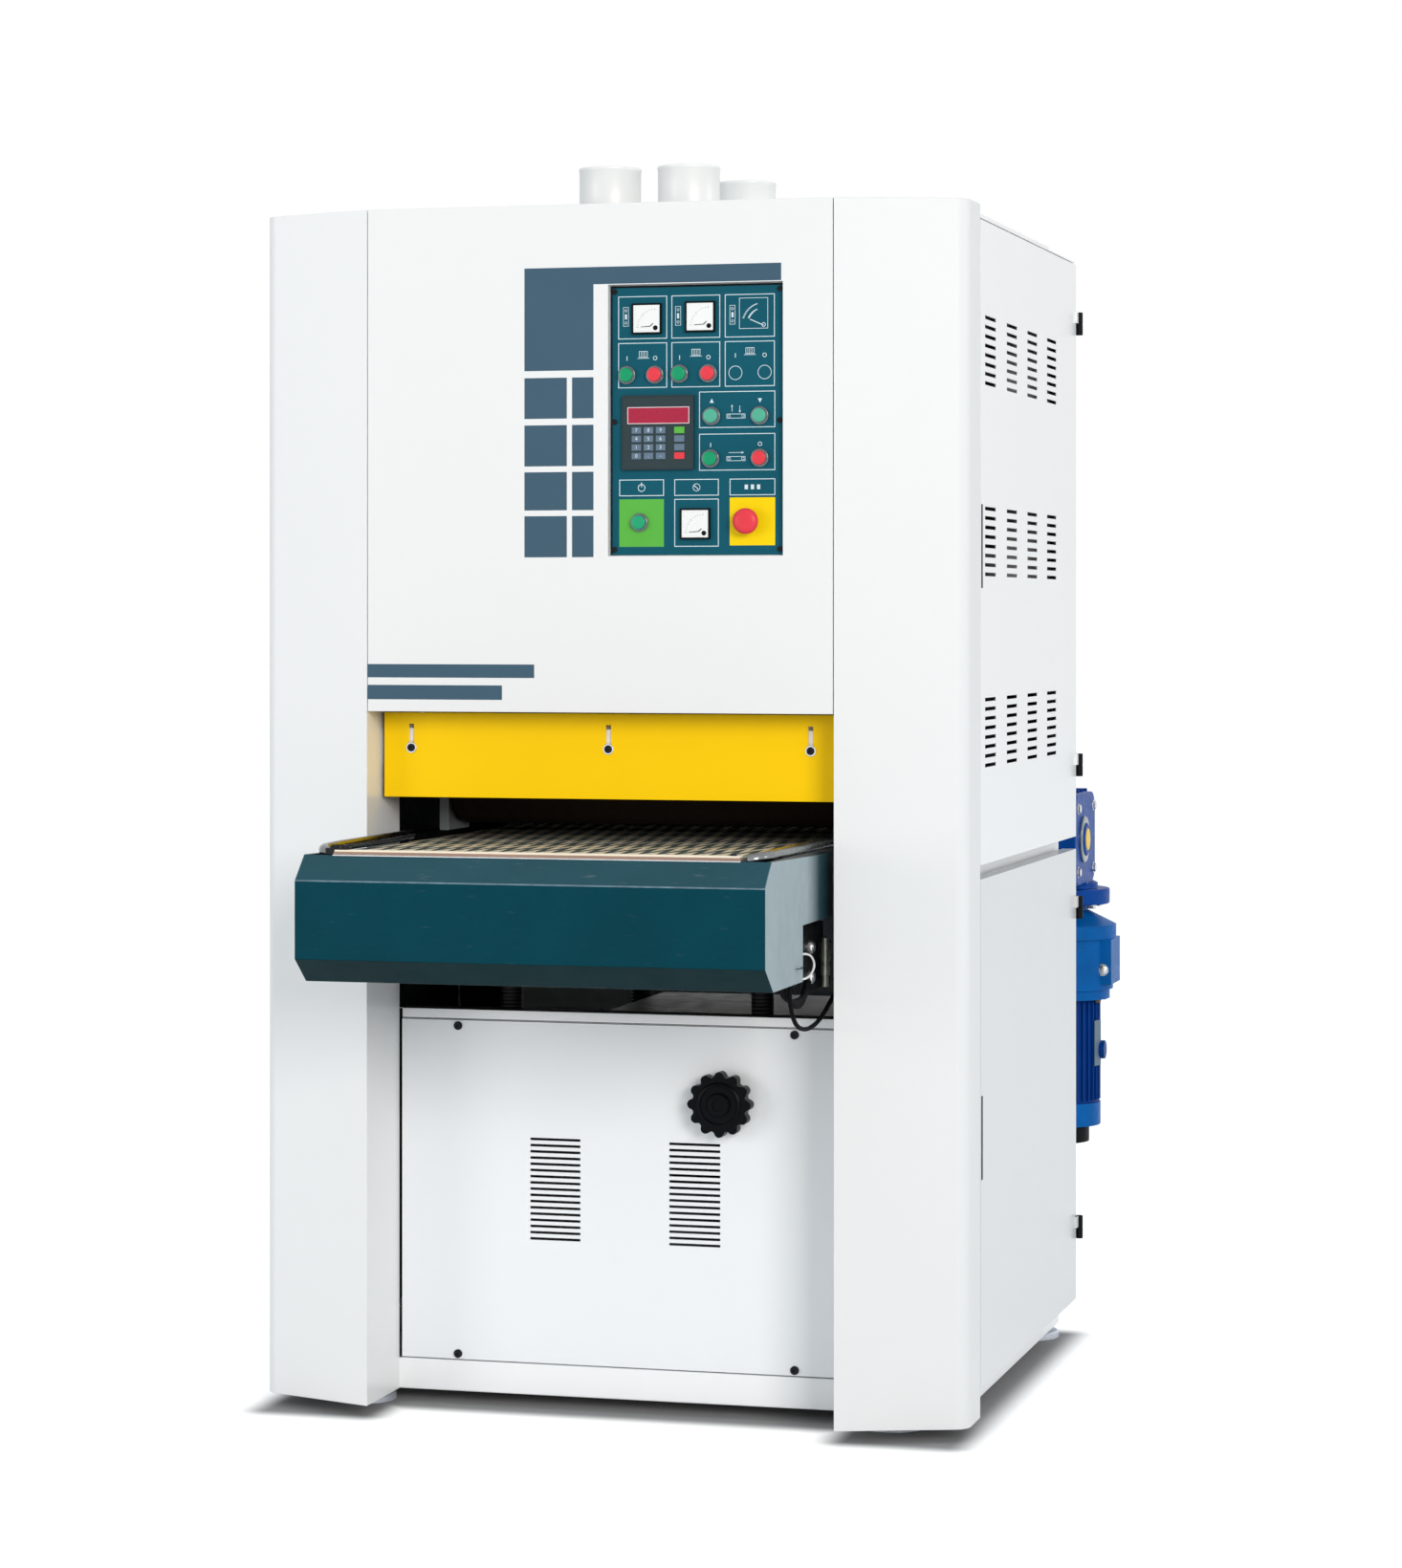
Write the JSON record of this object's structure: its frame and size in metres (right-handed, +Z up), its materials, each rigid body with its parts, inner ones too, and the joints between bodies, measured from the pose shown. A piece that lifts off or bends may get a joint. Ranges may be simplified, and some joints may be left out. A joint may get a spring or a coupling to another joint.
{
  "type": "wide belt sander",
  "caption": "Floor-standing wide belt sander: white cabinet with control panel, sanding heads over a lifting conveyor table, dust outlets and a geared feed motor.",
  "frame": {"origin": "on the floor under the middle of the machine's box", "axes": "+Z up, front with the control panel towards -Y, +X to the right seen from the front"},
  "size_m": [1.1755, 1.857, 1.997],
  "materials": {
    "frame_paint": "satin light grey paint",
    "cover_white": "glossy white powder coat",
    "outlet_metal": "white painted sheet",
    "foot_metal": "zinc grey paint",
    "plate_teal": "teal printed plate",
    "black_plastic": "black plastic",
    "chrome_ring": "bright metal ring",
    "dark_steel": "dark steel",
    "abrasive": "dark abrasive cloth",
    "motor_grey": "grey paint",
    "black_rubber": "black rubber",
    "bright_steel": "machined steel",
    "guard_yellow": "glossy yellow paint",
    "bed_paint": "light grey paint",
    "belt_rubber": "rough-top brown rubber",
    "guard_teal": "glossy deep teal paint",
    "gear_blue": "blue enamel on castings",
    "cable_black": "black cable sheath",
    "pulley_iron": "turned iron",
    "roller_aluminium": "turned aluminium",
    "green_button": "green plastic",
    "red_button": "red plastic",
    "pale_green_button": "pale green plastic",
    "bright_green_button": "bright green plastic"
  },
  "bodies": {
    "frame": {"main_frame": "frame_paint", "left_pillar": "cover_white", "right_pillar": "cover_white", "upper_front_cover": "cover_white", "lower_front_panel": "cover_white", "top_cover": "cover_white", "dust_outlets": "outlet_metal", "rear_panels": "cover_white", "levelling_feet": "foot_metal", "control_plate": "plate_teal", "panel_instruments": "black_plastic", "button_collars": "chrome_ring", "cover_screws": "dark_steel", "door_hinges": "black_plastic", "head_beams": "frame_paint", "sanding_belts": "abrasive", "sanding_pad": "dark_steel", "main_motors": "motor_grey", "drive_belts": "black_rubber", "jack_housings": "frame_paint", "lift_chain": "dark_steel", "lift_motor": "motor_grey", "pressure_shoes": "bright_steel"},
    "throat_guard": {"infeed_guard": "guard_yellow"},
    "bed": {"feed_table": "bed_paint", "conveyor_belt": "belt_rubber", "roller_guard": "guard_teal", "jack_screws": "bright_steel", "worm_gearbox": "gear_blue", "feed_variator": "gear_blue", "feed_motor": "gear_blue", "take_up_blocks": "dark_steel", "stop_switch": "black_plastic", "switch_cable": "cable_black"},
    "infeed_roll": {"infeed_roller": "bright_steel"},
    "drive_roll": {"drive_roller": "black_rubber"},
    "front_drum_roll": {"front_drum": "black_rubber"},
    "rear_drum_roll": {"rear_drum": "black_rubber"},
    "front_motor_rotor": {"front_motor_pulley": "pulley_iron"},
    "rear_motor_rotor": {"rear_motor_pulley": "pulley_iron"},
    "front_tension_roll": {"front_tension_roller": "roller_aluminium"},
    "rear_tension_roll": {"rear_tension_roller": "roller_aluminium"},
    "front_fork": {"front_tension_yoke": "frame_paint"},
    "rear_fork": {"rear_tension_yoke": "frame_paint"},
    "right_shaft": {"right_lift_shaft": "bright_steel", "table_knob": "black_plastic"},
    "left_shaft": {"left_lift_shaft": "bright_steel"},
    "upper_door": {"right_upper_door": "cover_white"},
    "lower_door": {"right_lower_door": "cover_white"},
    "left_side_door": {"left_door": "cover_white"},
    "head1_start_cap": {"head1_start": "green_button"},
    "head1_stop_cap": {"head1_stop": "red_button"},
    "head2_start_cap": {"head2_start": "green_button"},
    "head2_stop_cap": {"head2_stop": "red_button"},
    "table_up_cap": {"table_up": "pale_green_button"},
    "table_down_cap": {"table_down": "pale_green_button"},
    "feed_start_cap": {"feed_start": "green_button"},
    "feed_stop_cap": {"feed_stop": "red_button"},
    "power_button_cap": {"power_button": "bright_green_button"},
    "emergency_stop_cap": {"emergency_stop": "red_button"}
  },
  "joints": [
    {"name": "table_lift", "type": "slide", "parent": "frame", "child": "bed", "axis": [0, 0, 1], "range_m": [-0.094, 0.012], "deforming": ["switch_cable"]},
    {"name": "right_shaft_turn", "type": "hinge", "parent": "frame", "child": "right_shaft", "pos_m": [0.166, -0.0665, 0.501], "axis": [0, 1, 0], "range_deg": [-3400, 440]},
    {"name": "left_shaft_turn", "type": "hinge", "parent": "frame", "child": "left_shaft", "pos_m": [-0.166, -0.0665, 0.501], "axis": [0, 1, 0], "range_deg": [-3400, 440]},
    {"name": "guard_slide", "type": "slide", "parent": "frame", "child": "throat_guard", "axis": [0, 0, 1], "range_m": [-0.03, 0]},
    {"name": "drive_roller_turn", "type": "hinge", "parent": "bed", "child": "drive_roll", "pos_m": [0, 0.7495, 0.862], "axis": [1, 0, 0], "continuous": true},
    {"name": "infeed_roller_turn", "type": "hinge", "parent": "bed", "child": "infeed_roll", "pos_m": [0, -0.8565, 0.862], "axis": [1, 0, 0], "continuous": true},
    {"name": "upper_door_hinge", "type": "hinge", "parent": "frame", "child": "upper_door", "pos_m": [0.581, 0.4715, 1.39], "axis": [0, 0, 1], "range_deg": [0, 105]},
    {"name": "lower_door_hinge", "type": "hinge", "parent": "frame", "child": "lower_door", "pos_m": [0.581, 0.4715, 0.46], "axis": [0, 0, 1], "range_deg": [0, 105]},
    {"name": "left_door_hinge", "type": "hinge", "parent": "frame", "child": "left_side_door", "pos_m": [-0.581, 0.4715, 0.98], "axis": [0, 0, -1], "range_deg": [0, 105]},
    {"name": "front_drum_turn", "type": "hinge", "parent": "frame", "child": "front_drum_roll", "pos_m": [0, -0.2265, 1.02], "axis": [1, 0, 0], "continuous": true},
    {"name": "front_motor_turn", "type": "hinge", "parent": "frame", "child": "front_motor_rotor", "pos_m": [0, -0.2265, 0.22], "axis": [1, 0, 0], "continuous": true},
    {"name": "front_tension_slide", "type": "slide", "parent": "frame", "child": "front_fork", "axis": [0, 0, 1], "range_m": [-0.03, 0]},
    {"name": "front_tension_turn", "type": "hinge", "parent": "front_fork", "child": "front_tension_roll", "pos_m": [0, -0.2265, 1.749], "axis": [1, 0, 0], "continuous": true},
    {"name": "rear_drum_turn", "type": "hinge", "parent": "frame", "child": "rear_drum_roll", "pos_m": [0, 0.1335, 1.02], "axis": [1, 0, 0], "continuous": true},
    {"name": "rear_motor_turn", "type": "hinge", "parent": "frame", "child": "rear_motor_rotor", "pos_m": [0, 0.1335, 0.22], "axis": [1, 0, 0], "continuous": true},
    {"name": "rear_tension_slide", "type": "slide", "parent": "frame", "child": "rear_fork", "axis": [0, 0, 1], "range_m": [-0.03, 0]},
    {"name": "rear_tension_turn", "type": "hinge", "parent": "rear_fork", "child": "rear_tension_roll", "pos_m": [0, 0.1785, 1.749], "axis": [1, 0, 0], "continuous": true},
    {"name": "head1_start_press", "type": "slide", "parent": "frame", "child": "head1_start_cap", "axis": [0, 1, 0], "range_m": [0, 0.004], "stiffness_N_per_m": 400},
    {"name": "head1_stop_press", "type": "slide", "parent": "frame", "child": "head1_stop_cap", "axis": [0, 1, 0], "range_m": [0, 0.004], "stiffness_N_per_m": 400},
    {"name": "head2_start_press", "type": "slide", "parent": "frame", "child": "head2_start_cap", "axis": [0, 1, 0], "range_m": [0, 0.004], "stiffness_N_per_m": 400},
    {"name": "head2_stop_press", "type": "slide", "parent": "frame", "child": "head2_stop_cap", "axis": [0, 1, 0], "range_m": [0, 0.004], "stiffness_N_per_m": 400},
    {"name": "table_up_press", "type": "slide", "parent": "frame", "child": "table_up_cap", "axis": [0, 1, 0], "range_m": [0, 0.004], "stiffness_N_per_m": 400},
    {"name": "table_down_press", "type": "slide", "parent": "frame", "child": "table_down_cap", "axis": [0, 1, 0], "range_m": [0, 0.004], "stiffness_N_per_m": 400},
    {"name": "feed_start_press", "type": "slide", "parent": "frame", "child": "feed_start_cap", "axis": [0, 1, 0], "range_m": [0, 0.004], "stiffness_N_per_m": 400},
    {"name": "feed_stop_press", "type": "slide", "parent": "frame", "child": "feed_stop_cap", "axis": [0, 1, 0], "range_m": [0, 0.004], "stiffness_N_per_m": 400},
    {"name": "power_button_press", "type": "slide", "parent": "frame", "child": "power_button_cap", "axis": [0, 1, 0], "range_m": [0, 0.004], "stiffness_N_per_m": 400},
    {"name": "emergency_stop_press", "type": "slide", "parent": "frame", "child": "emergency_stop_cap", "axis": [0, 1, 0], "range_m": [0, 0.005], "stiffness_N_per_m": 400}
  ],
  "couplings": [
    {"joint": "right_shaft_turn", "follows": "table_lift", "rad_per_m": 628.32},
    {"joint": "left_shaft_turn", "follows": "table_lift", "rad_per_m": 628.32},
    {"joint": "infeed_roller_turn", "follows": "drive_roller_turn", "ratio": 1},
    {"joint": "front_motor_turn", "follows": "front_drum_turn", "ratio": 0.8},
    {"joint": "front_tension_turn", "follows": "front_drum_turn", "ratio": 1.76},
    {"joint": "rear_motor_turn", "follows": "rear_drum_turn", "ratio": 0.8},
    {"joint": "rear_tension_turn", "follows": "rear_drum_turn", "ratio": 1.76}
  ]
}
